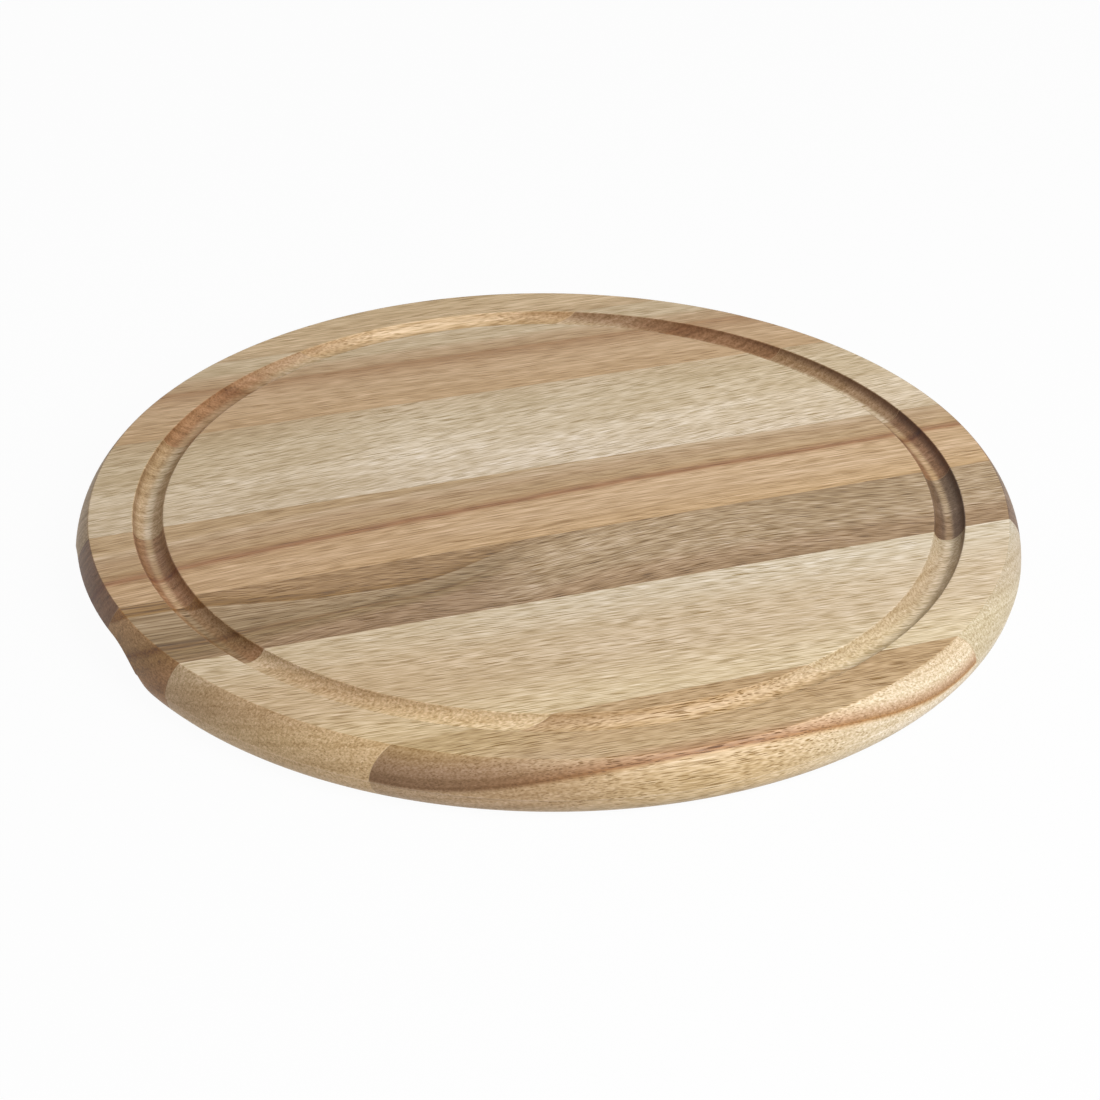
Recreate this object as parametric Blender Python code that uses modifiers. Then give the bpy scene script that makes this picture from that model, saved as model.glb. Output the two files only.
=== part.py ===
"""Round serving board glued up from staves, with a juice groove and two finger grips.

The board lies on its underside at z = 0, centred on the origin. The grain runs along X and the
staves are numbered from the front (-Y) to the back (+Y).
"""

import math

import bmesh
import bpy
from mathutils import Matrix

MM = 0.001

# Overall board
BOARD_DIAMETER = 400.0 * MM
BOARD_THICKNESS = 25.0 * MM

# Rim: a broad rounding falls from the flat top's edge to an arris, which overhangs a rounded foot
TOP_ROUND_WIDTH = 5.8 * MM
FOOT_ROUND_RADIUS = 9.5 * MM
ARRIS_OVERHANG = 0.4 * MM

# Juice groove, made by a round-nosed cutter that sinks to just short of its full radius
GROOVE_MARGIN = 24.5 * MM
GROOVE_CUTTER_RADIUS = 6.35 * MM
GROOVE_DEPTH = 5.3 * MM

# Finger grips: a hollow under the rim at each end of the grain, with a flat roof and round ends
GRIP_ROOF = 8.9 * MM
GRIP_REACH = 24.0 * MM
GRIP_FLAT_LENGTH = 62.0 * MM
GRIP_END_RADIUS = 42.0 * MM
GRIP_INNER_ROUND = 10.0 * MM

# Glue joints from front to back: place across the grain at mid-board, and skew to the grain in degrees
GLUE_JOINTS = (
    (-153.8 * MM, 0.6),
    (-74.3 * MM, -0.1),
    (-26.4 * MM, -0.1),
    (29.2 * MM, -0.6),
    (101.0 * MM, -1.1),
    (162.7 * MM, -0.9),
)
GLUE_THICKNESS = 0.3 * MM
GLUE_CLEARANCE = 0.1 * MM
LEAST_EDGE_STAVE = 5.0 * MM

# How finely round shapes are cut into facets
TURN_STEPS = 96
GROOVE_STEPS = 8
RIM_ROUND_STEPS = 6
GRIP_STEPS = 48
GRIP_ROUND_STEPS = 4
MERGE_DISTANCE = 0.01 * MM
SHARP_ANGLE = math.radians(30.0)

# Finish of the oiled wood and of the cured glue
STAVE_COLOURS = (
    (0.53, 0.37, 0.20),
    (0.63, 0.50, 0.33),
    (0.38, 0.27, 0.17),
    (0.51, 0.35, 0.21),
    (0.59, 0.48, 0.33),
    (0.48, 0.33, 0.20),
    (0.52, 0.38, 0.24),
)
WOOD_ROUGHNESS = 0.5
GLUE_COLOUR = (0.22, 0.13, 0.06)
GLUE_ROUGHNESS = 0.4

BOARD_RADIUS = BOARD_DIAMETER / 2
SLAB_REACH = 0.6 * BOARD_DIAMETER


def clear_scene():
    for item in list(bpy.data.objects):
        bpy.data.objects.remove(item)


def make_collection(name):
    collection = bpy.data.collections.new(name)
    bpy.context.scene.collection.children.link(collection)
    return collection


def make_material(name, colour, roughness):
    material = bpy.data.materials.new(name)
    material.use_nodes = True
    shader = material.node_tree.nodes["Principled BSDF"]
    shader.inputs["Base Color"].default_value = (*colour, 1.0)
    shader.inputs["Roughness"].default_value = roughness
    shader.inputs["Metallic"].default_value = 0.0
    return material


def add_cutter(name, mesh, cutters):
    cutter = bpy.data.objects.new(name, mesh)
    cutter.hide_render = True
    cutter.display_type = "WIRE"
    cutters.objects.link(cutter)
    return cutter


def cut(target, cutter, operation):
    boolean = target.modifiers.new(operation.lower(), "BOOLEAN")
    boolean.operation = operation
    boolean.solver = "EXACT"
    boolean.object = cutter


def arc(centre_r, centre_z, radius, start, end, steps):
    """Points on an arc in the profile plane, angles measured from +r towards +z."""
    points = []
    for step in range(steps + 1):
        angle = start + (end - start) * step / steps
        points.append((centre_r + radius * math.cos(angle), centre_z + radius * math.sin(angle)))
    return points


def groove_profile():
    """The groove's section, from its inner edge down and up to its outer edge."""
    centre_z = BOARD_THICKNESS + GROOVE_CUTTER_RADIUS - GROOVE_DEPTH
    half_angle = math.acos(1 - GROOVE_DEPTH / GROOVE_CUTTER_RADIUS)
    half_width = GROOVE_CUTTER_RADIUS * math.sin(half_angle)
    centre_r = BOARD_RADIUS - GROOVE_MARGIN - half_width
    straight_down = -math.pi / 2
    return arc(centre_r, centre_z, GROOVE_CUTTER_RADIUS,
               straight_down - half_angle, straight_down + half_angle, GROOVE_STEPS)


def top_round():
    """The broad rounding, from the flat top's edge to the arris, where it stands upright."""
    arris_z = FOOT_ROUND_RADIUS + ARRIS_OVERHANG
    drop = BOARD_THICKNESS - arris_z
    radius = (drop ** 2 + TOP_ROUND_WIDTH ** 2) / (2 * TOP_ROUND_WIDTH)
    return arc(BOARD_RADIUS - radius, arris_z, radius, math.asin(drop / radius), 0.0, RIM_ROUND_STEPS)


def foot_round():
    """The rounded foot, from under the arris to the flat underside."""
    centre_r = BOARD_RADIUS - ARRIS_OVERHANG - FOOT_ROUND_RADIUS
    return arc(centre_r, FOOT_ROUND_RADIUS, FOOT_ROUND_RADIUS, 0.0, -math.pi / 2, RIM_ROUND_STEPS)


def board_profile():
    """The board's half section, from the middle of the top round the rim to the middle of the underside."""
    top_middle = [(0.0, BOARD_THICKNESS)]
    underside_middle = [(0.0, 0.0)]
    return top_middle + groove_profile() + top_round() + foot_round() + underside_middle


def grip_hollow(name, end, cutters):
    """Cutter for one grip: a disc on edge, pulled apart sideways, across the rim at end -1 or +1."""
    shape = bmesh.new()
    bmesh.ops.create_cone(shape, cap_ends=True, segments=GRIP_STEPS, radius1=GRIP_END_RADIUS,
                          radius2=GRIP_END_RADIUS, depth=2 * GRIP_REACH)
    half_step = Matrix.Rotation(math.pi / GRIP_STEPS, 4, "Z")
    on_edge = Matrix.Rotation(math.pi / 2, 4, "Y")
    bmesh.ops.transform(shape, matrix=on_edge @ half_step, verts=shape.verts)
    for corner in shape.verts:
        corner.co.y += math.copysign(GRIP_FLAT_LENGTH / 2, corner.co.y)
    centre_z = BOARD_THICKNESS - GRIP_ROOF - GRIP_END_RADIUS
    bmesh.ops.translate(shape, vec=(end * BOARD_RADIUS, 0.0, centre_z), verts=shape.verts)
    mesh = bpy.data.meshes.new(name)
    shape.to_mesh(mesh)
    shape.free()
    hollow = add_cutter(name, mesh, cutters)
    bevel = hollow.modifiers.new("inner_round", "BEVEL")
    bevel.width = GRIP_INNER_ROUND
    bevel.segments = GRIP_ROUND_STEPS
    bevel.limit_method = "ANGLE"
    bevel.angle_limit = SHARP_ANGLE
    return hollow


def turned_board(cutters):
    """Mesh of the whole board before it is divided: a turned disc with both grips hollowed out."""
    profile = board_profile()
    mesh = bpy.data.meshes.new("board_profile")
    points = [(r, 0.0, z) for r, z in profile]
    edges = [(index, index + 1) for index in range(len(points) - 1)]
    mesh.from_pydata(points, edges, [])
    board = add_cutter("turned_board", mesh, cutters)
    screw = board.modifiers.new("turn", "SCREW")
    screw.steps = TURN_STEPS
    screw.render_steps = TURN_STEPS
    screw.use_merge_vertices = True
    screw.merge_threshold = MERGE_DISTANCE
    cut(board, grip_hollow("left_grip_hollow", -1, cutters), "DIFFERENCE")
    cut(board, grip_hollow("right_grip_hollow", 1, cutters), "DIFFERENCE")
    evaluated = board.evaluated_get(bpy.context.evaluated_depsgraph_get())
    return bpy.data.meshes.new_from_object(evaluated)


def shifted(line, distance):
    """A line across the board, moved towards the back by a distance."""
    place, skew = line
    return (place + distance, skew)


def place_at(line, x):
    """Where a line lies across the grain, at a place x along the grain."""
    place, skew = line
    return place + x * math.tan(math.radians(skew))


def upright_slab(name, front_line, back_line, cutters):
    """Slab between two lines, taller than the board and longer than its diameter."""
    shape = bmesh.new()
    bmesh.ops.create_cube(shape, size=2.0)
    for corner in shape.verts:
        line = back_line if corner.co.y > 0 else front_line
        corner.co.x *= SLAB_REACH
        corner.co.y = place_at(line, corner.co.x)
        corner.co.z = BOARD_THICKNESS / 2 + corner.co.z * BOARD_THICKNESS
    mesh = bpy.data.meshes.new(name)
    shape.to_mesh(mesh)
    shape.free()
    return add_cutter(name, mesh, cutters)


def add_piece(name, board_mesh, lines, material, collections):
    """One piece of the board: what lies between two lines."""
    parts, cutters = collections
    mesh = board_mesh.copy()
    mesh.name = name
    mesh.materials.clear()
    mesh.materials.append(material)
    mesh.shade_smooth()
    mesh.set_sharp_from_angle(angle=SHARP_ANGLE)
    piece = bpy.data.objects.new(name, mesh)
    parts.objects.link(piece)
    cut(piece, upright_slab(name + "_slab", *lines, cutters), "INTERSECT")


def add_staves(board_mesh, joints, collections):
    """The staves, each reaching from one glue joint to the next, or to beyond the rim."""
    gap = GLUE_THICKNESS / 2 + GLUE_CLEARANCE
    fronts = [(-SLAB_REACH, 0.0)] + [shifted(joint, gap) for joint in joints]
    backs = [shifted(joint, -gap) for joint in joints] + [(SLAB_REACH, 0.0)]
    for number, lines in enumerate(zip(fronts, backs), start=1):
        name = f"stave_{number}"
        material = make_material(name + "_wood", STAVE_COLOURS[number - 1], WOOD_ROUGHNESS)
        add_piece(name, board_mesh, lines, material, collections)


def add_glue_lines(board_mesh, joints, collections):
    """The film of cured glue in each joint."""
    for number, joint in enumerate(joints, start=1):
        name = f"glue_line_{number}"
        lines = (shifted(joint, -GLUE_THICKNESS / 2), shifted(joint, GLUE_THICKNESS / 2))
        material = make_material(name + "_glue", GLUE_COLOUR, GLUE_ROUGHNESS)
        add_piece(name, board_mesh, lines, material, collections)


def main():
    clear_scene()
    parts = make_collection("round_serving_board")
    cutters = make_collection("cutters")
    board_mesh = turned_board(cutters)
    on_board = BOARD_RADIUS - LEAST_EDGE_STAVE
    joints = [joint for joint in GLUE_JOINTS if abs(joint[0]) < on_board]
    add_staves(board_mesh, joints, (parts, cutters))
    add_glue_lines(board_mesh, joints, (parts, cutters))


main()
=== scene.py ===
"""Looks for the round serving board: figured wood staves, thin glue lines, studio light and camera.

The frame is that of the solids: the underside lies at z = 0, the grain runs along X, and the staves
are numbered from the front (-Y) to the back (+Y). Shapes are in metres. The figure of the wood is in
millimetres, because the materials count places in them.
"""

import math

import bmesh
import bpy
from mathutils import Matrix, Vector


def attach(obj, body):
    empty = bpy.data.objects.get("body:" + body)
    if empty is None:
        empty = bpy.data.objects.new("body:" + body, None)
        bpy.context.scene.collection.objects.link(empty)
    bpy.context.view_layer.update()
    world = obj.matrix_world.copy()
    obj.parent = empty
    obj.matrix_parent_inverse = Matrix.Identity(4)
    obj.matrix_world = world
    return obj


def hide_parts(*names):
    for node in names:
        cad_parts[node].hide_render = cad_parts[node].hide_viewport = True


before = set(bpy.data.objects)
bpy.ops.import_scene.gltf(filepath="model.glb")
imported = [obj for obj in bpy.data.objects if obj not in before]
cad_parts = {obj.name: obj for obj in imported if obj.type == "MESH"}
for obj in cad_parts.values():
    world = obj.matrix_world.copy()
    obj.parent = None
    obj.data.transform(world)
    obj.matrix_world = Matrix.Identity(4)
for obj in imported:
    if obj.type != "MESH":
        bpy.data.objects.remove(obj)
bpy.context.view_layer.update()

MM = 0.001

# Board, as in the solids; the skin lies a hair inside them
SKIN = 0.05 * MM
BOARD_RADIUS = 200.0 * MM - SKIN
BOARD_THICKNESS = 25.0 * MM

# Rim: an eased edge, a broad rounding down to an arris, and a rounded foot under it
TOP_EDGE_EASE = 0.8 * MM
TOP_ROUND_WIDTH = 5.8 * MM
FOOT_ROUND_RADIUS = 9.5 * MM
ARRIS_OVERHANG = 0.4 * MM
ARRIS_HEIGHT = FOOT_ROUND_RADIUS + ARRIS_OVERHANG

# Juice groove, made by a round-nosed cutter, with eased edges
GROOVE_MARGIN = 24.5 * MM
GROOVE_CUTTER_RADIUS = 6.35 * MM
GROOVE_DEPTH = 5.3 * MM
GROOVE_EDGE_ROUND = 0.5 * MM

# Finger grips: a hollow under the rim at each end of the grain, with a flat roof and round ends
GRIP_ROOF = 8.9 * MM
GRIP_REACH = 24.0 * MM
GRIP_FLAT_LENGTH = 62.0 * MM
GRIP_END_RADIUS = 42.0 * MM
GRIP_INNER_ROUND = 10.0 * MM
ROUND_BEVEL = 0.5

# Glue joints from front to back: place across the grain at mid-board, and skew to the grain in degrees
GLUE_JOINTS = (
    (-153.8 * MM, 0.6),
    (-74.3 * MM, -0.1),
    (-26.4 * MM, -0.1),
    (29.2 * MM, -0.6),
    (101.0 * MM, -1.1),
    (162.7 * MM, -0.9),
)
GLUE_FILM = 0.12 * MM
FILM_CLEARANCE = 0.01 * MM

# How finely round shapes are cut into facets; narrow strips beside the roundings keep flat faces flat
TURN_STEPS = 256
RIM_STEPS = 14
GROOVE_STEPS = 20
EDGE_STEPS = 4
GRIP_STEPS = 128
GRIP_ROUND_STEPS = 8
SUPPORT_STRIP = 0.6 * MM
SMOOTH_ANGLE = math.radians(32.0)
CUT_TOLERANCE = 1e-4 * MM


def mesh_from(name, shape):
    """The shape as a mesh; the shape itself is freed."""
    mesh = bpy.data.meshes.new(name)
    shape.to_mesh(mesh)
    shape.free()
    return mesh


def add_object(name, data):
    item = bpy.data.objects.new(name, data)
    bpy.context.scene.collection.objects.link(item)
    return item


def arc(centre_r, centre_z, radius, start, end, steps):
    """Points on an arc in the profile plane, angles measured from +r towards +z."""
    points = []
    for step in range(steps + 1):
        angle = start + (end - start) * step / steps
        points.append((centre_r + radius * math.cos(angle), centre_z + radius * math.sin(angle)))
    return points


def groove_profile():
    """The groove's section with eased edges, from its inner edge to its outer edge."""
    ease = GROOVE_EDGE_ROUND
    top = BOARD_THICKNESS
    centre_z = top + GROOVE_CUTTER_RADIUS - GROOVE_DEPTH
    full_angle = math.acos(1 - GROOVE_DEPTH / GROOVE_CUTTER_RADIUS)
    centre_r = BOARD_RADIUS - GROOVE_MARGIN - GROOVE_CUTTER_RADIUS * math.sin(full_angle)
    wall_angle = math.acos((centre_z - top + ease) / GROOVE_CUTTER_RADIUS)
    half_width = GROOVE_CUTTER_RADIUS * math.sin(wall_angle)
    inner_edge = arc(centre_r - half_width - ease, top - ease, ease, math.pi / 2, 0.0, EDGE_STEPS)
    floor = arc(centre_r, centre_z, GROOVE_CUTTER_RADIUS,
                -math.pi / 2 - wall_angle, -math.pi / 2 + wall_angle, GROOVE_STEPS)
    outer_edge = arc(centre_r + half_width + ease, top - ease, ease, math.pi, math.pi / 2, EDGE_STEPS)
    before = [(inner_edge[0][0] - SUPPORT_STRIP, top)]
    after = [(outer_edge[-1][0] + SUPPORT_STRIP, top)]
    return before + inner_edge + floor[1:-1] + outer_edge + after


def rim_profile():
    """The rim's section: flat top, eased edge, broad rounding, arris, rounded foot, flat underside."""
    drop = BOARD_THICKNESS - ARRIS_HEIGHT
    radius = (drop ** 2 + TOP_ROUND_WIDTH ** 2) / (2 * TOP_ROUND_WIDTH)
    centre_r = BOARD_RADIUS - radius
    ease_drop = drop - TOP_EDGE_EASE
    ease_reach = math.sqrt((radius - TOP_EDGE_EASE) ** 2 - ease_drop ** 2)
    ease_angle = math.atan2(ease_drop, ease_reach)
    ease_r = centre_r + ease_reach
    eased_edge = arc(ease_r, BOARD_THICKNESS - TOP_EDGE_EASE, TOP_EDGE_EASE,
                     math.pi / 2, ease_angle, EDGE_STEPS)
    top_round = arc(centre_r, ARRIS_HEIGHT, radius, ease_angle, 0.0, RIM_STEPS)
    foot_r = BOARD_RADIUS - ARRIS_OVERHANG - FOOT_ROUND_RADIUS
    foot_round = arc(foot_r, FOOT_ROUND_RADIUS, FOOT_ROUND_RADIUS, 0.0, -math.pi / 2, RIM_STEPS)
    before = [(ease_r - SUPPORT_STRIP, BOARD_THICKNESS)]
    after = [(foot_r - SUPPORT_STRIP, 0.0)]
    return before + eased_edge + top_round[1:] + foot_round + after


def turned_board():
    """The whole board as one turned mesh, with a disc at each end of its profile."""
    profile = groove_profile() + rim_profile()
    shape = bmesh.new()
    rings = []
    for r, z in profile:
        ring = []
        for step in range(TURN_STEPS):
            angle = 2 * math.pi * step / TURN_STEPS
            ring.append(shape.verts.new((r * math.cos(angle), r * math.sin(angle), z)))
        rings.append(ring)
    for upper, lower in zip(rings, rings[1:]):
        for step in range(TURN_STEPS):
            ahead = (step + 1) % TURN_STEPS
            shape.faces.new((upper[step], lower[step], lower[ahead], upper[ahead]))
    shape.faces.new(rings[0])
    shape.faces.new(reversed(rings[-1]))
    return mesh_from("turned_board", shape)


def grip_hollow(end):
    """Mesh that cuts the grip at end -1 or +1: a disc on edge, pulled apart sideways, with rounded rims."""
    shape = bmesh.new()
    bmesh.ops.create_cone(shape, cap_ends=True, segments=GRIP_STEPS, radius1=GRIP_END_RADIUS,
                          radius2=GRIP_END_RADIUS, depth=2 * GRIP_REACH)
    half_step = Matrix.Rotation(math.pi / GRIP_STEPS, 4, "Z")
    on_edge = Matrix.Rotation(math.pi / 2, 4, "Y")
    bmesh.ops.transform(shape, matrix=on_edge @ half_step, verts=shape.verts)
    for corner in shape.verts:
        corner.co.y += math.copysign(GRIP_FLAT_LENGTH / 2, corner.co.y)
    centre_z = BOARD_THICKNESS - GRIP_ROOF - GRIP_END_RADIUS
    bmesh.ops.translate(shape, vec=(end * BOARD_RADIUS, 0.0, centre_z), verts=shape.verts)
    caps = [face for face in shape.faces if len(face.verts) > 4]
    rims = {edge for face in caps for edge in face.edges}
    bmesh.ops.bevel(shape, geom=list(rims), offset=GRIP_INNER_ROUND, segments=GRIP_ROUND_STEPS,
                    profile=ROUND_BEVEL, affect="EDGES")
    return mesh_from("grip_hollow", shape)


def hollowed_board():
    """The turned board with both finger grips cut out of its underside."""
    board = add_object("whole_board", turned_board())
    cutters = [add_object("grip_hollow", grip_hollow(end)) for end in (-1, 1)]
    for cutter in cutters:
        boolean = board.modifiers.new("grip", "BOOLEAN")
        boolean.operation = "DIFFERENCE"
        boolean.solver = "EXACT"
        boolean.object = cutter
    evaluated = board.evaluated_get(bpy.context.evaluated_depsgraph_get())
    mesh = bpy.data.meshes.new_from_object(evaluated)
    for item in [board] + cutters:
        bpy.data.objects.remove(item)
    return mesh


def keep_one_side(shape, line, side):
    """Cuts the shape along a line across the board, and caps what it keeps: in front (-1) or behind (+1)."""
    place, skew = line
    slope = math.tan(math.radians(skew))
    normal = Vector((-slope, 1.0, 0.0)) * -side
    everything = shape.verts[:] + shape.edges[:] + shape.faces[:]
    result = bmesh.ops.bisect_plane(shape, geom=everything, dist=CUT_TOLERANCE,
                                    plane_co=(0.0, place, 0.0), plane_no=normal, clear_outer=True)
    rim = [item for item in result["geom_cut"] if isinstance(item, bmesh.types.BMEdge)]
    bmesh.ops.holes_fill(shape, edges=rim, sides=0)


def add_piece(name, board, front_line, back_line, material):
    """One piece of the board, between two lines across it; None is the board's own edge."""
    shape = bmesh.new()
    shape.from_mesh(board)
    if front_line:
        keep_one_side(shape, front_line, 1)
    if back_line:
        keep_one_side(shape, back_line, -1)
    bmesh.ops.recalc_face_normals(shape, faces=shape.faces)
    mesh = mesh_from(name, shape)
    mesh.materials.append(material)
    mesh.shade_smooth()
    mesh.set_sharp_from_angle(angle=SMOOTH_ANGLE)
    return add_object(name, mesh)


# Strokes in the wood, as shares of their cell's width: where they end and where they are at their full
# strength, and the strength of the faintest
DASH_EDGE = 0.46
DASH_CORE = 0.26
FAINTEST_DASH = 0.35

# How red, green and blue follow a change of shade in the wood
WARM_POWERS = (0.80, 1.0, 1.48)


def rgba(colour):
    return (*colour, 1.0)


class Graph:
    """One material's nodes. Methods that make nodes for a result return the socket that holds it."""

    def __init__(self, name):
        self.material = bpy.data.materials.new(name)
        self.material.use_nodes = True
        self.tree = self.material.node_tree
        self.shader = self.tree.nodes["Principled BSDF"]

    def feed(self, socket, value):
        if isinstance(value, bpy.types.NodeSocket):
            self.tree.links.new(value, socket)
        else:
            socket.default_value = value

    def node(self, kind, **settings):
        made = self.tree.nodes.new(kind)
        for name, value in settings.items():
            setattr(made, name, value)
        return made

    def math(self, operation, *values):
        made = self.node("ShaderNodeMath", operation=operation)
        for socket, value in zip(made.inputs, values):
            self.feed(socket, value)
        return made.outputs[0]

    def add(self, first, second):
        return self.math("ADD", first, second)

    def times(self, first, second):
        return self.math("MULTIPLY", first, second)

    def between(self, low, high, share):
        """Low where the share is 0, high where it is 1, and evenly between."""
        return self.add(self.times(share, high - low), low)

    def length(self, first, second):
        """Length of the slanting side over two sides at right angles."""
        return self.math("SQRT", self.add(self.times(first, first), self.times(second, second)))

    def coordinates(self, kind):
        """The x, y and z of one kind of texture coordinate."""
        source = self.node("ShaderNodeTexCoord")
        split = self.node("ShaderNodeSeparateXYZ")
        self.feed(split.inputs[0], source.outputs[kind])
        return split.outputs

    def place(self):
        """The point's x, y and z in millimetres, in the board's frame."""
        return [self.times(axis, 1.0 / MM) for axis in self.coordinates("Object")]

    def facing(self):
        """How far the surface faces along x, y and z, from -1 to 1."""
        return self.coordinates("Normal")

    def cells(self, place, size):
        """The place counted in cells of the given size in millimetres along x, y and z."""
        vector = self.node("ShaderNodeCombineXYZ")
        for socket, axis, length in zip(vector.inputs, place, size):
            self.feed(socket, self.times(axis, 1.0 / length))
        return vector.outputs[0]

    def noise(self, place, size, detail=2.0, roughness=0.5):
        """Noise between 0 and 1, in cells of the given size."""
        made = self.node("ShaderNodeTexNoise")
        made.inputs["Scale"].default_value = 1.0
        made.inputs["Detail"].default_value = detail
        made.inputs["Roughness"].default_value = roughness
        self.feed(made.inputs["Vector"], self.cells(place, size))
        return made.outputs["Fac"]

    def dashes(self, place, size):
        """Strokes between 0 and 1, one in each cell of the given size, some fainter than others."""
        made = self.node("ShaderNodeTexVoronoi")
        made.inputs["Scale"].default_value = 1.0
        self.feed(made.inputs["Vector"], self.cells(place, size))
        chance = self.node("ShaderNodeSeparateColor")
        self.feed(chance.inputs[0], made.outputs["Color"])
        strength = self.between(FAINTEST_DASH, 1.0, chance.outputs[0])
        return self.times(self.rise(made.outputs["Distance"], DASH_EDGE, DASH_CORE), strength)

    def rise(self, value, start, full):
        """0 up to start, 1 from full on, and a smooth rise between; full may also lie below start."""
        made = self.node("ShaderNodeMapRange", interpolation_type="SMOOTHSTEP")
        self.feed(made.inputs["Value"], value)
        made.inputs["From Min"].default_value = start
        made.inputs["From Max"].default_value = full
        return made.outputs["Result"]

    def bands(self, value, stops):
        """Colours along a value; stops are pairs of a place in millimetres and a colour."""
        low = stops[0][0]
        high = stops[-1][0]
        scaled = self.times(self.add(value, -low), 1.0 / (high - low))
        made = self.node("ShaderNodeValToRGB")
        elements = made.color_ramp.elements
        while len(elements) < len(stops):
            elements.new(1.0)
        for element, (where, colour) in zip(elements, stops):
            element.position = (where - low) / (high - low)
            element.color = rgba(colour)
        self.feed(made.inputs[0], scaled)
        return made.outputs["Color"]

    def blend(self, factor, first, second, mode="MIX"):
        made = self.node("ShaderNodeMix", data_type="RGBA", blend_type=mode)
        self.feed(made.inputs["Factor"], factor)
        self.feed(made.inputs["A"], first)
        self.feed(made.inputs["B"], second)
        return made.outputs["Result"]

    def shade(self, colour, amount):
        """The colour made lighter or darker by a factor, and warmer where it is darker."""
        tint = self.node("ShaderNodeCombineColor")
        for socket, power in zip(tint.inputs, WARM_POWERS):
            self.feed(socket, self.math("POWER", amount, power))
        return self.blend(1.0, colour, tint.outputs[0], "MULTIPLY")

    def relief(self, height, distance):
        """Bumps of the given height, as a share of a distance, on the whole surface."""
        made = self.node("ShaderNodeBump")
        made.inputs["Strength"].default_value = 1.0
        made.inputs["Distance"].default_value = distance
        self.feed(made.inputs["Height"], height)
        self.feed(self.shader.inputs["Normal"], made.outputs["Normal"])


# Sizes of the wood's figure along the grain, across it and in depth
WANDER_SIZE = (150.0, 45.0, 45.0)
RIPPLE_SIZE = (30.0, 7.0, 7.0)
WOBBLE_SIZE = (38.0, 9.0, 9.0)
MOTTLE_SIZE = (60.0, 14.0, 14.0)
STREAK_SIZE = (110.0, 2.2, 2.2)
RING_SIZE = (400.0, 2.4, 2.4)
PORE_SIZE = (13.0, 0.55, 0.55)
SPECKLE_SIZE = (1.5, 0.9, 0.9)
FAN_LINE_SIZE = (90.0, 0.52, 0.52)
FIBRE_WIDTH = 0.5

# How far the fibres wobble sideways, and how far apart in the noise the staves take their grain from
WOBBLE_REACH = 2.2
SEED_STEP = 531.0

# The middle of all noise, and how much finer noise is mixed into it
NOISE_MIDDLE = 0.5
NO_DETAIL = 0.0
FINE_DETAIL = 3.0
STREAK_ROUGHNESS = 0.6

# Colours of the rings are given as seen. This much of them is light that the oiled surface mirrors
SHEEN = 0.065

# Pores darken the wood, less so where the mottle is low, and the wood between them is lifted to make up
PORE_SHADE = (0.35, 0.25, 0.05)
PORE_LIFT = 0.21
PORE_CLUMPS = (0.35, 0.62)
SPARSE_PORES = 0.6

# However dark the grain makes the wood, this much of its colour is left
LEAST_TONE = 0.25

# End grain shows where the surface turns this far towards an end. The fibres and pores are cut to specks
# there, and the rings stand out. The left end's shade gives way to the right end's about the middle
END_FACING = (0.05, 0.40)
END_QUIET = 0.55
END_RINGS = 2.2
END_SPECKLE = 1.6
END_BLEND = 40.0

# The rim's end grain, which takes the painted light and shade of the rims, starts outside the groove
RIM_REACH = (179.0, 185.0)

# Painted shade on the groove's outer wall, where it faces back towards the middle, most at the ends of the
# grain. The sides are left, right and front, each as the axis that the wall faces along, the side of the
# board and the strength
GROOVE_PAINTED_SHADE = (0.38, 0.28, 0.21)
GROOVE_SHADE_FACING = (0.55, 0.95)
GROOVE_SHADE_REACH = (40.0, 130.0)
GROOVE_SHADE_SIDES = ((0, -1, 0.70), (0, 1, 1.0), (1, -1, 0.48))

# The rounded foot below the arris is painted paler, as painted light from the floor below, and a painted
# highlight runs along the arris
TOP_MM = BOARD_THICKNESS / MM
ARRIS_MM = ARRIS_HEIGHT / MM
FOOT_BLEND = 0.3
FOOT_PAINTED_LIGHT = 0.24
ARRIS_PAINTED_HIGHLIGHT = 0.40
ARRIS_HIGHLIGHT_WIDTH = 0.45

# Oiled surface: its roughness, and what fibres, pores and end grain add to it
OIL_IOR = 1.46
OIL_ROUGHNESS = 0.34
FIBRE_ROUGHNESS = 0.16
PORE_ROUGHNESS = 0.2
END_ROUGHNESS = 0.06

# Relief: how far the fibres stand up and the pores sink in, as shares of its depth in metres
RELIEF_DEPTH = 0.10 * MM
FIBRE_RELIEF = 0.4
PORE_RELIEF = -0.6

# How far from the middle a stave has taken on the tint of its left or right end
TINT_REACH = 130.0
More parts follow.
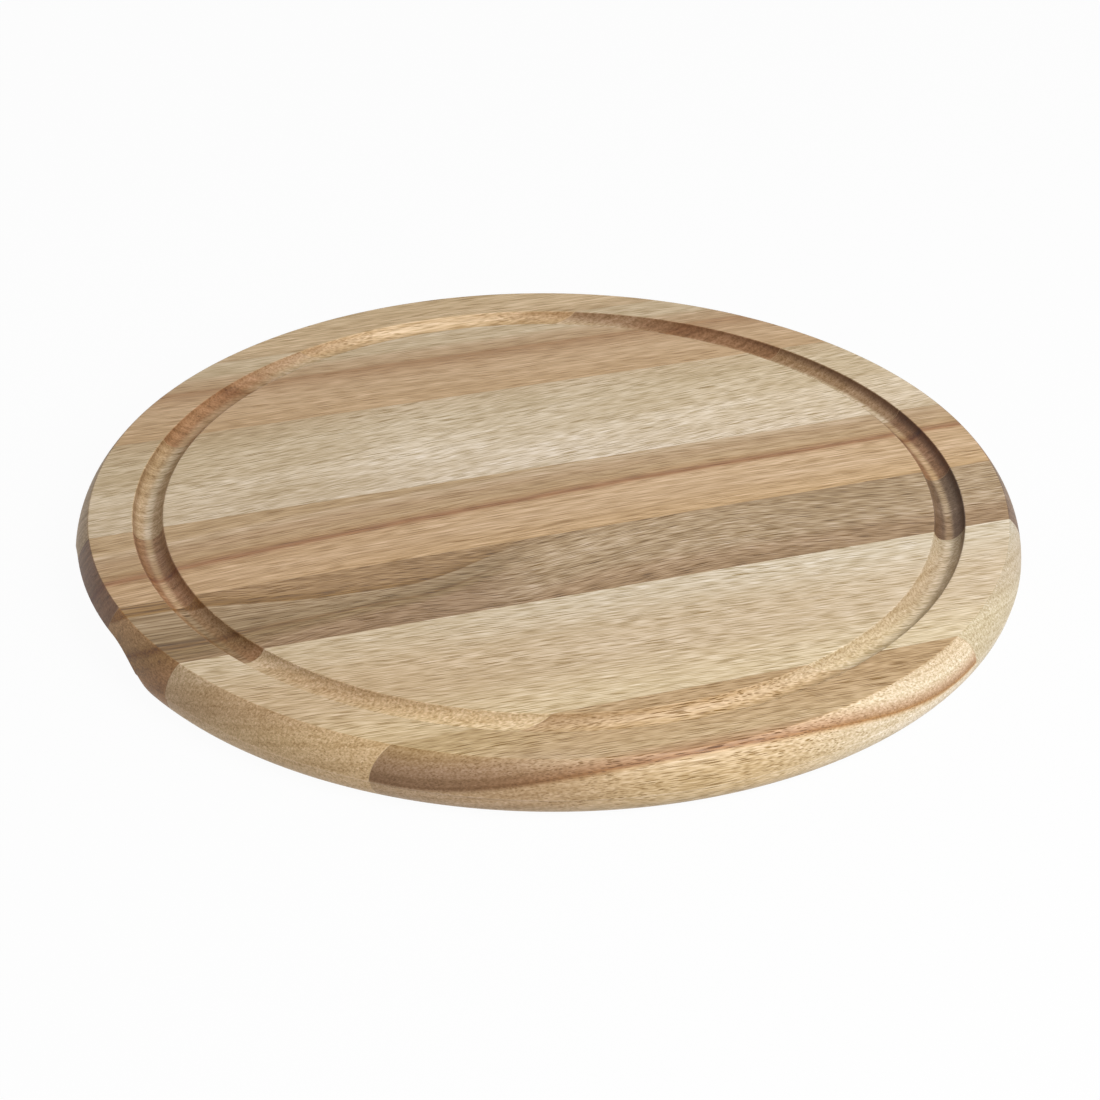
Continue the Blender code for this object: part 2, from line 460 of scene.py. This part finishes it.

# Wood of each stave, from front to back; angles are in degrees. The growth rings either circle a pith,
# given by y and z, or lie at a tilt and run at a slope to X, and they wander a little. At the left they
# may bend away, given by strength and start, or fan out about an axis; a lift, given by start, end and
# height, raises them to the right of such a fan. The fibres lean from X and may sway, given by height,
# length, start and end. Pores, fibres, streaks, rings and mottle say how strongly each shows. Stops are
# colours across the rings, and left_stops take their place over the left_reach. The ends shade the end
# grain. Outside the groove the rims lay painted light and shade on it at the left end and a painted sheen
# at the right end, and the tints shade the stave towards its ends.
STAVES = (
    {
        # heartwood, with sapwood outside it; their boundary arches over the front rim. Its right end grain
        # is whitened by a painted sheen
        "pith": (-160.7, 63.2), "heart_radius": 53.0, "lean": -2.0, "wander": 1.2,
        "pores": 1.30, "fibres": 1.5, "fibre_length": 6.0, "streaks": 0.35, "rings": 0.4, "mottle": 0.3,
        "left_end": (0.70, 0.62, 0.54), "right_end": (1.04, 1.18, 1.44),
        "stops": (
            (-20.0, (0.47, 0.34, 0.19)),
            (-1.5, (0.50, 0.36, 0.21)),
            (-0.5, (0.43, 0.28, 0.15)),
            (0.6, (0.28, 0.15, 0.08)),
            (3.0, (0.42, 0.26, 0.15)),
            (7.0, (0.51, 0.365, 0.21)),
            (15.0, (0.47, 0.32, 0.18)),
        ),
        "left_stops": (
            (-1.5, (0.56, 0.41, 0.25)),
            (0.6, (0.28, 0.18, 0.11)),
            (8.0, (0.45, 0.32, 0.21)),
            (14.0, (0.49, 0.35, 0.19)),
        ),
        "left_reach": (-25.0, -105.0),
    },
    {
        # pale, straight grain, yellower towards the left; whiter towards the right, partly its own paler
        # tone and partly a painted sheen
        "tilt": 70.0, "slope": 0.3, "lean": -4.0, "wander": 3.0,
        "pores": 1.00, "fibres": 1.5, "fibre_length": 9.0, "streaks": 0.4, "rings": 0.3, "mottle": 0.35,
        "left_end": (0.94, 0.90, 0.87), "left_rim_painted_light": (0.96, 0.91, 0.85),
        "right_end": (0.67, 0.63, 0.57), "right_rim_painted_sheen": (1.0, 1.08, 1.18),
        "left_tint": (0.96, 0.91, 0.83), "right_tint": (1.04, 1.07, 1.11),
        "stops": (
            (-75.0, (0.62, 0.48, 0.30)),
            (-50.0, (0.65, 0.51, 0.32)),
            (-42.0, (0.59, 0.45, 0.29)),
            (-36.0, (0.59, 0.45, 0.29)),
            (-28.0, (0.63, 0.51, 0.35)),
        ),
    },
    {
        # dark grey-brown; at the left its rings fan out, below an orange-brown wedge
        "tilt": 25.0, "fan_axis": -52.0, "fan_reach": (-60.0, -175.0), "fan_squeeze": 0.35,
        "lift": (-80.0, 10.0, 25.0), "lean": -2.0, "sway": (6.0, 38.0, -90.0, -20.0), "wander": 3.0,
        "pores": 1.30, "fibres": 2.8, "fibre_length": 8.0, "streaks": 1.0, "rings": 0.5, "mottle": 1.1,
        "left_end": (0.97, 0.84, 0.74), "left_rim_painted_light": (1.14, 1.08, 0.95), "right_end": (0.38, 0.32, 0.29),
        "left_tint": (1.06, 1.03, 1.0), "right_tint": (0.97, 0.97, 0.97),
        "stops": (
            (-43.0, (0.33, 0.22, 0.13)),
            (-33.0, (0.37, 0.25, 0.15)),
            (-25.0, (0.43, 0.31, 0.19)),
            (-5.0, (0.42, 0.30, 0.18)),
            (5.0, (0.39, 0.27, 0.16)),
            (9.0, (0.34, 0.22, 0.12)),
            (19.0, (0.40, 0.27, 0.16)),
        ),
        "left_stops": (
            (-9.0, (0.31, 0.21, 0.13)),
            (-4.4, (0.27, 0.19, 0.11)),
            (-3.0, (0.20, 0.13, 0.08)),
            (-1.6, (0.28, 0.20, 0.12)),
            (5.0, (0.36, 0.26, 0.16)),
            (5.6, (0.24, 0.15, 0.08)),
            (10.0, (0.35, 0.23, 0.13)),
        ),
        "left_reach": (-8.0, -60.0),
    },
    {
        # orange-brown with a dark reddish streak along it
        "tilt": 20.0, "slope": 0.0, "bend": (1.8e-4, 90.0), "lean": -1.5, "wander": 2.0,
        "pores": 0.75, "fibres": 1.4, "fibre_length": 13.0, "streaks": 1.2, "rings": 0.6, "mottle": 0.35,
        "left_end": (0.62, 0.48, 0.39), "left_rim_painted_light": (0.60, 0.57, 0.58), "right_end": (0.46, 0.35, 0.29),
        "left_tint": (0.96, 0.93, 0.89), "right_tint": (1.02, 1.03, 1.03),
        "stops": (
            (-24.0, (0.53, 0.35, 0.19)),
            (-8.0, (0.58, 0.40, 0.24)),
            (1.0, (0.57, 0.39, 0.23)),
            (4.4, (0.54, 0.36, 0.21)),
            (6.2, (0.36, 0.20, 0.11)),
            (7.4, (0.34, 0.19, 0.11)),
            (9.6, (0.45, 0.29, 0.16)),
            (13.0, (0.48, 0.33, 0.19)),
            (20.0, (0.47, 0.32, 0.19)),
            (26.0, (0.56, 0.41, 0.26)),
            (29.0, (0.51, 0.36, 0.21)),
        ),
    },
    {
        # pale, with grey-brown pore dashes
        "tilt": 20.0, "slope": -0.6, "lean": 4.0, "wander": 4.0,
        "pores": 1.00, "fibres": 1.25, "fibre_length": 7.0, "streaks": 0.5, "rings": 0.5, "mottle": 0.9,
        "left_end": (0.76, 0.67, 0.56), "left_rim_painted_light": (0.85, 0.80, 0.72), "right_end": (0.51, 0.40, 0.31),
        "left_tint": (0.89, 0.85, 0.78), "right_tint": (0.97, 0.95, 0.90),
        "stops": (
            (30.0, (0.69, 0.56, 0.40)),
            (53.0, (0.72, 0.59, 0.42)),
            (62.0, (0.65, 0.52, 0.35)),
            (80.0, (0.63, 0.50, 0.33)),
            (95.0, (0.57, 0.43, 0.27)),
        ),
    },
    {
        # orange-brown below a dark line, pale above it
        "tilt": 20.0, "slope": -1.7, "lean": -1.5, "wander": 2.0,
        "pores": 0.65, "fibres": 1.15, "fibre_length": 11.0, "streaks": 0.8, "rings": 0.6, "mottle": 0.35,
        "left_end": (0.60, 0.47, 0.37), "right_end": (0.47, 0.36, 0.29),
        "stops": (
            (97.0, (0.55, 0.37, 0.21)),
            (114.0, (0.57, 0.39, 0.23)),
            (121.0, (0.54, 0.36, 0.21)),
            (129.5, (0.40, 0.24, 0.13)),
            (131.5, (0.49, 0.33, 0.19)),
            (138.0, (0.54, 0.38, 0.23)),
            (142.0, (0.61, 0.47, 0.30)),
        ),
    },
    {
        # plain tan
        "tilt": 35.0, "slope": -0.6, "lean": -1.0, "wander": 3.0,
        "pores": 0.75, "fibres": 1.35, "fibre_length": 12.0, "streaks": 0.9, "rings": 0.6, "mottle": 0.35,
        "left_end": (0.76, 0.66, 0.57), "right_end": (0.76, 0.66, 0.57),
        "stops": (
            (130.0, (0.56, 0.41, 0.24)),
            (134.0, (0.50, 0.35, 0.20)),
            (139.0, (0.61, 0.44, 0.26)),
            (168.0, (0.58, 0.42, 0.24)),
        ),
    },
)


def bell(graph, value, height, centre, width):
    """A smooth hump of a height, about a centre."""
    steps = graph.times(graph.add(value, -centre), 1.0 / width)
    fall = graph.math("EXPONENT", graph.times(graph.times(steps, steps), -1.0))
    return graph.times(fall, height)


def swing(graph, noise, amount):
    """Noise turned into a change about zero."""
    return graph.times(graph.add(noise, -NOISE_MIDDLE), amount)


def faded(graph, amount, mask, share):
    """The amount, less a share of it where the mask is 1."""
    return graph.times(amount, graph.add(graph.times(mask, -share), 1.0))


def fanned(graph, stave, x, y):
    """Place across fibres that fan out about an axis; squeeze is the scale at the wide end."""
    at_fan = graph.rise(x, *stave["fan_reach"])
    return faded(graph, graph.add(y, -stave["fan_axis"]), at_fan, 1.0 - stave["fan_squeeze"])


def bent(graph, stave, x):
    """How far fibres that bend away towards the left lie from their straight run."""
    strength, start = stave["bend"]
    before = graph.math("MINIMUM", graph.add(x, -start), 0.0)
    return graph.times(graph.times(before, before), strength)


def pith_place(graph, stave, across, z):
    """How far a point lies inside the heartwood's edge, which is a ring about the pith."""
    pith_y, pith_z = stave["pith"]
    from_pith = graph.length(graph.add(across, -pith_y), graph.add(z, -pith_z))
    return graph.math("SUBTRACT", stave["heart_radius"], from_pith)


def ring_place(graph, stave, place):
    """How far a point lies across the growth rings."""
    x, y, z = place
    across = graph.add(y, swing(graph, graph.noise(place, WANDER_SIZE), stave["wander"]))
    across = graph.add(across, swing(graph, graph.noise(place, RIPPLE_SIZE), stave["wander"]))
    if "pith" in stave:
        return pith_place(graph, stave, across, z)
    if "fan_axis" in stave:
        start, end, height = stave["lift"]
        lift = graph.times(graph.rise(x, start, end), height)
        across = graph.math("SUBTRACT", fanned(graph, stave, x, across), lift)
    else:
        across = graph.add(across, graph.times(x, -math.tan(math.radians(stave["slope"]))))
    if "bend" in stave:
        across = graph.add(across, bent(graph, stave, x))
    tilt = math.radians(stave["tilt"])
    depth = graph.add(z, -TOP_MM)
    return graph.add(graph.times(across, math.cos(tilt)), graph.times(depth, math.sin(tilt)))


def grain_place(graph, stave, place, seed):
    """The point in a frame that follows the fibres, which wobble, lean and may sway or bend a little."""
    x, y, z = place
    along = graph.add(x, SEED_STEP * seed)
    wobble = swing(graph, graph.noise((along, y, z), WOBBLE_SIZE), WOBBLE_REACH)
    drift = graph.times(x, math.tan(math.radians(stave["lean"])))
    if "sway" in stave:
        height, length, start, end = stave["sway"]
        wave = graph.times(graph.math("SINE", graph.times(x, 1.0 / length)), height)
        drift = graph.add(drift, graph.times(wave, graph.rise(x, start, end)))
    if "bend" in stave:
        drift = graph.math("SUBTRACT", drift, bent(graph, stave, x))
    across = graph.math("SUBTRACT", graph.add(y, wobble), drift)
    return along, across, z


def fibre_pattern(graph, stave, grain, x):
    """Fibres between 0 and 1, which draw out into long lines where the rings fan out."""
    fibres = graph.noise(grain, (stave["fibre_length"], FIBRE_WIDTH, FIBRE_WIDTH), NO_DETAIL)
    if "fan_axis" in stave:
        along, across, depth = grain
        lines = graph.noise((along, fanned(graph, stave, x, across), depth), FAN_LINE_SIZE, NO_DETAIL)
        at_fan = graph.rise(x, *stave["fan_reach"])
        fibres = graph.add(faded(graph, fibres, at_fan, 1.0), graph.times(lines, at_fan))
    return fibres


def pore_marks(graph, grain, mottle):
    """Thin dashes along the fibres, fainter in some places than in others."""
    strength = graph.between(SPARSE_PORES, 1.0, graph.rise(mottle, *PORE_CLUMPS))
    return graph.times(graph.dashes(grain, PORE_SIZE), strength)


class Figure:
    """The places and patterns in one stave's wood that its colour, roughness and relief share."""

    def __init__(self, graph, stave, seed):
        place = graph.place()
        self.x, self.y, self.z = place
        self.facing = graph.facing()
        self.ends = graph.rise(graph.math("ABSOLUTE", self.facing[0]), *END_FACING)
        self.ring = ring_place(graph, stave, place)
        self.grain = grain_place(graph, stave, place, seed)
        self.mottle = graph.noise(self.grain, MOTTLE_SIZE)
        self.fibres = fibre_pattern(graph, stave, self.grain, self.x)
        self.pores = faded(graph, pore_marks(graph, self.grain, self.mottle), self.ends, END_QUIET)


def without_sheen(stops):
    return [(where, [max(part - SHEEN, 0.0) for part in colour]) for where, colour in stops]


def ring_colour(graph, stave, figure):
    """Colour of the growth rings, before any grain."""
    colour = graph.bands(figure.ring, without_sheen(stave["stops"]))
    if "left_stops" in stave:
        left = graph.bands(figure.ring, without_sheen(stave["left_stops"]))
        colour = graph.blend(graph.rise(figure.x, *stave["left_reach"]), colour, left)
    for name, end in (("left_tint", -TINT_REACH), ("right_tint", TINT_REACH)):
        if name in stave:
            colour = graph.blend(graph.rise(figure.x, 0.0, end), colour, rgba(stave[name]), "MULTIPLY")
    return colour


def grain_tone(graph, stave, figure):
    """How light the grain makes the wood, with painted light on the foot and along the arris, as a factor on
    its colour.
    """
    rings = graph.noise((figure.grain[0], figure.ring, 0.0), RING_SIZE, FINE_DETAIL)
    streaks = graph.noise(figure.grain, STREAK_SIZE, FINE_DETAIL, STREAK_ROUGHNESS)
    speckle = graph.noise(figure.grain, SPECKLE_SIZE)
    foot = graph.rise(figure.z, ARRIS_MM + FOOT_BLEND, ARRIS_MM - FOOT_BLEND)
    changes = (
        swing(graph, figure.mottle, stave["mottle"]),
        faded(graph, swing(graph, rings, stave["rings"]), figure.ends, -END_RINGS),
        swing(graph, streaks, stave["streaks"]),
        faded(graph, swing(graph, figure.fibres, stave["fibres"]), figure.ends, END_QUIET),
        graph.times(swing(graph, speckle, END_SPECKLE), figure.ends),
        # painted light on the foot, and a painted highlight along the arris
        graph.times(foot, FOOT_PAINTED_LIGHT),
        bell(graph, figure.z, ARRIS_PAINTED_HIGHLIGHT, ARRIS_MM, ARRIS_HIGHLIGHT_WIDTH),
    )
    tone = 1.0 + PORE_LIFT * stave["pores"]
    for change in changes:
        tone = graph.add(tone, change)
    return graph.math("MAXIMUM", tone, LEAST_TONE)


def end_shade(graph, stave, figure):
    """Shade of the end grain at the stave's left and right end, with painted light and shade on the rim."""
    at_right = graph.rise(figure.x, -END_BLEND, END_BLEND)
    shade = graph.blend(at_right, rgba(stave["left_end"]), rgba(stave["right_end"]))
    on_rim = graph.rise(graph.length(figure.x, figure.y), *RIM_REACH)
    # painted light and shade on the rim's end grain at the left end, and a painted sheen on it at the right
    # end
    for name, end in (("left_rim_painted_light", -END_BLEND), ("right_rim_painted_sheen", END_BLEND)):
        if name in stave:
            at_end = graph.times(on_rim, graph.rise(figure.x, 0.0, end))
            shade = graph.blend(at_end, shade, rgba(stave[name]), "MULTIPLY")
    return shade


def with_groove_shade(graph, colour, figure):
    """The colour with painted shade on the groove's outer wall, where it faces back towards the middle."""
    place = (figure.x, figure.y)
    # painted shade on the groove's outer wall, at the left, right and front
    for axis, side, strength in GROOVE_SHADE_SIDES:
        inward = graph.rise(figure.facing[axis], *[-side * share for share in GROOVE_SHADE_FACING])
        outside = graph.rise(place[axis], *[side * length for length in GROOVE_SHADE_REACH])
        wall_shade = graph.times(graph.times(inward, outside), strength)
        colour = graph.blend(wall_shade, colour, rgba(GROOVE_PAINTED_SHADE), "MULTIPLY")
    return colour


def wood_colour(graph, stave, figure):
    """The rings' colour with the grain, the pores, the shade of end grain and painted shade in the groove on
    it.
    """
    colour = graph.shade(ring_colour(graph, stave, figure), grain_tone(graph, stave, figure))
    colour = graph.blend(graph.times(figure.pores, stave["pores"]), colour, rgba(PORE_SHADE), "MULTIPLY")
    colour = graph.blend(figure.ends, colour, end_shade(graph, stave, figure), "MULTIPLY")
    return with_groove_shade(graph, colour, figure)


def wood_roughness(graph, figure):
    fibres = graph.times(figure.fibres, FIBRE_ROUGHNESS)
    pores = graph.times(figure.pores, PORE_ROUGHNESS)
    ends = graph.times(figure.ends, END_ROUGHNESS)
    return graph.add(graph.add(graph.add(fibres, pores), ends), OIL_ROUGHNESS)


def wood_height(graph, figure):
    fibres = graph.times(figure.fibres, FIBRE_RELIEF)
    pores = graph.times(figure.pores, PORE_RELIEF)
    return graph.add(fibres, pores)


def wood(name, stave, seed):
    """Oiled wood of one stave."""
    graph = Graph(name)
    figure = Figure(graph, stave, seed)
    graph.feed(graph.shader.inputs["Base Color"], wood_colour(graph, stave, figure))
    graph.feed(graph.shader.inputs["Roughness"], wood_roughness(graph, figure))
    graph.feed(graph.shader.inputs["IOR"], OIL_IOR)
    graph.relief(wood_height(graph, figure), RELIEF_DEPTH)
    return graph.material


GLUE_PATCH_SIZE = (9.0, 2.0, 2.0)
GLUE_DARK = (0.30, 0.19, 0.10)
GLUE_PALE = (0.46, 0.32, 0.18)
GLUE_SMOOTH = 0.4
GLUE_ROUGH = 0.6


def glue(name):
    """Cured glue in darker and paler patches, flush with the wood."""
    graph = Graph(name)
    patches = graph.noise(graph.place(), GLUE_PATCH_SIZE, FINE_DETAIL)
    colour = graph.blend(patches, rgba(GLUE_DARK), rgba(GLUE_PALE))
    graph.feed(graph.shader.inputs["Base Color"], colour)
    graph.feed(graph.shader.inputs["Roughness"], graph.between(GLUE_SMOOTH, GLUE_ROUGH, patches))
    return graph.material


def moved(line, distance):
    """A line across the board, moved towards the back by a distance."""
    place, skew = line
    return (place + distance, skew)


def stand_for(piece, node):
    """Puts a piece on the root body in the place of a solid, and hides that solid."""
    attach(piece, "root")
    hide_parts(node)


def add_staves(board):
    """The staves, each reaching from one glue film to the next, or to the rim."""
    gap = GLUE_FILM / 2 + FILM_CLEARANCE
    fronts = [None] + [moved(joint, gap) for joint in GLUE_JOINTS]
    backs = [moved(joint, -gap) for joint in GLUE_JOINTS] + [None]
    for number, (stave, front, back) in enumerate(zip(STAVES, fronts, backs), start=1):
        node = f"stave_{number}"
        material = wood(node + "_oiled", stave, number)
        piece = add_piece(node + "_wood", board, front, back, material)
        stand_for(piece, node)


def add_glue_lines(board):
    """The film of cured glue in each joint."""
    material = glue("cured_glue")
    half = GLUE_FILM / 2
    for number, joint in enumerate(GLUE_JOINTS, start=1):
        node = f"glue_line_{number}"
        piece = add_piece(node + "_film", board, moved(joint, -half), moved(joint, half), material)
        stand_for(piece, node)


def dress_board():
    board = hollowed_board()
    add_staves(board)
    add_glue_lines(board)
    bpy.data.meshes.remove(board)


# Floor: a square that reaches far past the board, just under it
FLOOR_REACH = 6.0
FLOOR_CELLS = 8
FLOOR_DROP = 0.1 * MM
FLOOR_ALBEDO = 0.65
FLOOR_ROUGHNESS = 0.9
FLOOR_WHITE_SHARE = 0.96


def seen_directly(tree):
    """1 for rays from the camera and for rays that a shiny or clear surface sends on."""
    path = tree.nodes.new("ShaderNodeLightPath")
    total = path.outputs["Is Camera Ray"]
    for name in ("Is Glossy Ray", "Is Transmission Ray"):
        both = tree.nodes.new("ShaderNodeMath")
        both.operation = "MAXIMUM"
        tree.links.new(total, both.inputs[0])
        tree.links.new(path.outputs[name], both.inputs[1])
        total = both.outputs[0]
    return total


def floor_material():
    """Pale matt floor that shows as white, with a share of it left to take the shadow."""
    graph = Graph("pale_floor")
    graph.feed(graph.shader.inputs["Base Color"], rgba((FLOOR_ALBEDO, FLOOR_ALBEDO, FLOOR_ALBEDO)))
    graph.feed(graph.shader.inputs["Roughness"], FLOOR_ROUGHNESS)
    graph.feed(graph.shader.inputs["Specular IOR Level"], 0.0)
    white = graph.node("ShaderNodeEmission")
    mixed = graph.node("ShaderNodeMixShader")
    graph.feed(mixed.inputs[0], graph.times(seen_directly(graph.tree), FLOOR_WHITE_SHARE))
    graph.feed(mixed.inputs[1], graph.shader.outputs[0])
    graph.feed(mixed.inputs[2], white.outputs[0])
    graph.feed(graph.tree.nodes["Material Output"].inputs["Surface"], mixed.outputs[0])
    return graph.material


def add_floor():
    shape = bmesh.new()
    bmesh.ops.create_grid(shape, x_segments=FLOOR_CELLS, y_segments=FLOOR_CELLS, size=FLOOR_REACH)
    mesh = mesh_from("studio_floor", shape)
    mesh.materials.append(floor_material())
    floor = add_object("studio_floor", mesh)
    floor.location.z = -FLOOR_DROP


# Camera: where it stands, as seen from the middle of the top, and its lens in pixels of the photograph,
# whose middle lies this far right of and below the lens's axis
VIEW_AZIMUTH = math.radians(-19.25)
VIEW_ELEVATION = math.radians(30.18)
VIEW_DISTANCE = 1591.7 * MM
VIEW_ROLL = math.radians(0.455)
IMAGE_SIZE = 1100
FOCAL_PIXELS = 3759.2
RIGHT_PIXELS = 1.12
BELOW_PIXELS = 48.43
SENSOR_WIDTH = 36.0
CLIP_START = 0.05
CLIP_END = 30.0

# Softboxes: azimuth from the camera's and elevation in degrees, distance and size in metres, power in watts
SOFTBOXES = (
    ("key_softbox", 42.0, 40.0, 1.4, (1.0, 1.0), 20.0),
    ("rim_softbox", 85.0, 18.0, 1.5, (0.9, 0.5), 4.0),
)
WORLD_LIGHT = 0.30


def light_world():
    """Even white surroundings: dimmer as light than as background."""
    world = bpy.data.worlds.new("studio")
    bpy.context.scene.world = world
    world.use_nodes = True
    tree = world.node_tree
    background = tree.nodes["Background"]
    background.inputs["Color"].default_value = (1.0, 1.0, 1.0, 1.0)
    lift = tree.nodes.new("ShaderNodeMapRange")
    lift.inputs["To Min"].default_value = WORLD_LIGHT
    lift.inputs["To Max"].default_value = 1.0
    tree.links.new(seen_directly(tree), lift.inputs["Value"])
    tree.links.new(lift.outputs[0], background.inputs["Strength"])


def aim_at_board(item, azimuth, elevation, distance):
    """Puts a lamp or the camera at an azimuth from the front and an elevation, facing the board's top."""
    middle = Vector((0.0, 0.0, BOARD_THICKNESS))
    flat = math.cos(elevation)
    outwards = Vector((math.sin(azimuth) * flat, -math.cos(azimuth) * flat, math.sin(elevation)))
    place = middle + outwards * distance
    item.location = place
    item.rotation_euler = (middle - place).to_track_quat("-Z", "Y").to_euler()


def add_softbox(name, azimuth, elevation, distance, size, power):
    lamp = bpy.data.lights.new(name, "AREA")
    lamp.shape = "RECTANGLE"
    lamp.size, lamp.size_y = size
    lamp.energy = power
    bearing = VIEW_AZIMUTH + math.radians(azimuth)
    aim_at_board(add_object(name, lamp), bearing, math.radians(elevation), distance)


def add_lights():
    light_world()
    for softbox in SOFTBOXES:
        add_softbox(*softbox)


def add_camera():
    lens = bpy.data.cameras.new("photo_camera")
    lens.sensor_fit = "HORIZONTAL"
    lens.sensor_width = SENSOR_WIDTH
    lens.lens = SENSOR_WIDTH * FOCAL_PIXELS / IMAGE_SIZE
    lens.shift_x = RIGHT_PIXELS / IMAGE_SIZE
    lens.shift_y = -BELOW_PIXELS / IMAGE_SIZE
    lens.clip_start = CLIP_START
    lens.clip_end = CLIP_END
    camera = add_object("photo_camera", lens)
    aim_at_board(camera, VIEW_AZIMUTH, VIEW_ELEVATION, VIEW_DISTANCE)
    level = camera.rotation_euler.to_matrix()
    roll = Matrix.Rotation(VIEW_ROLL, 3, "Z")
    camera.rotation_euler = (level @ roll).to_euler()
    bpy.context.scene.camera = camera


bpy.context.scene.view_settings.view_transform = "Standard"
dress_board()
add_floor()
add_lights()
add_camera()
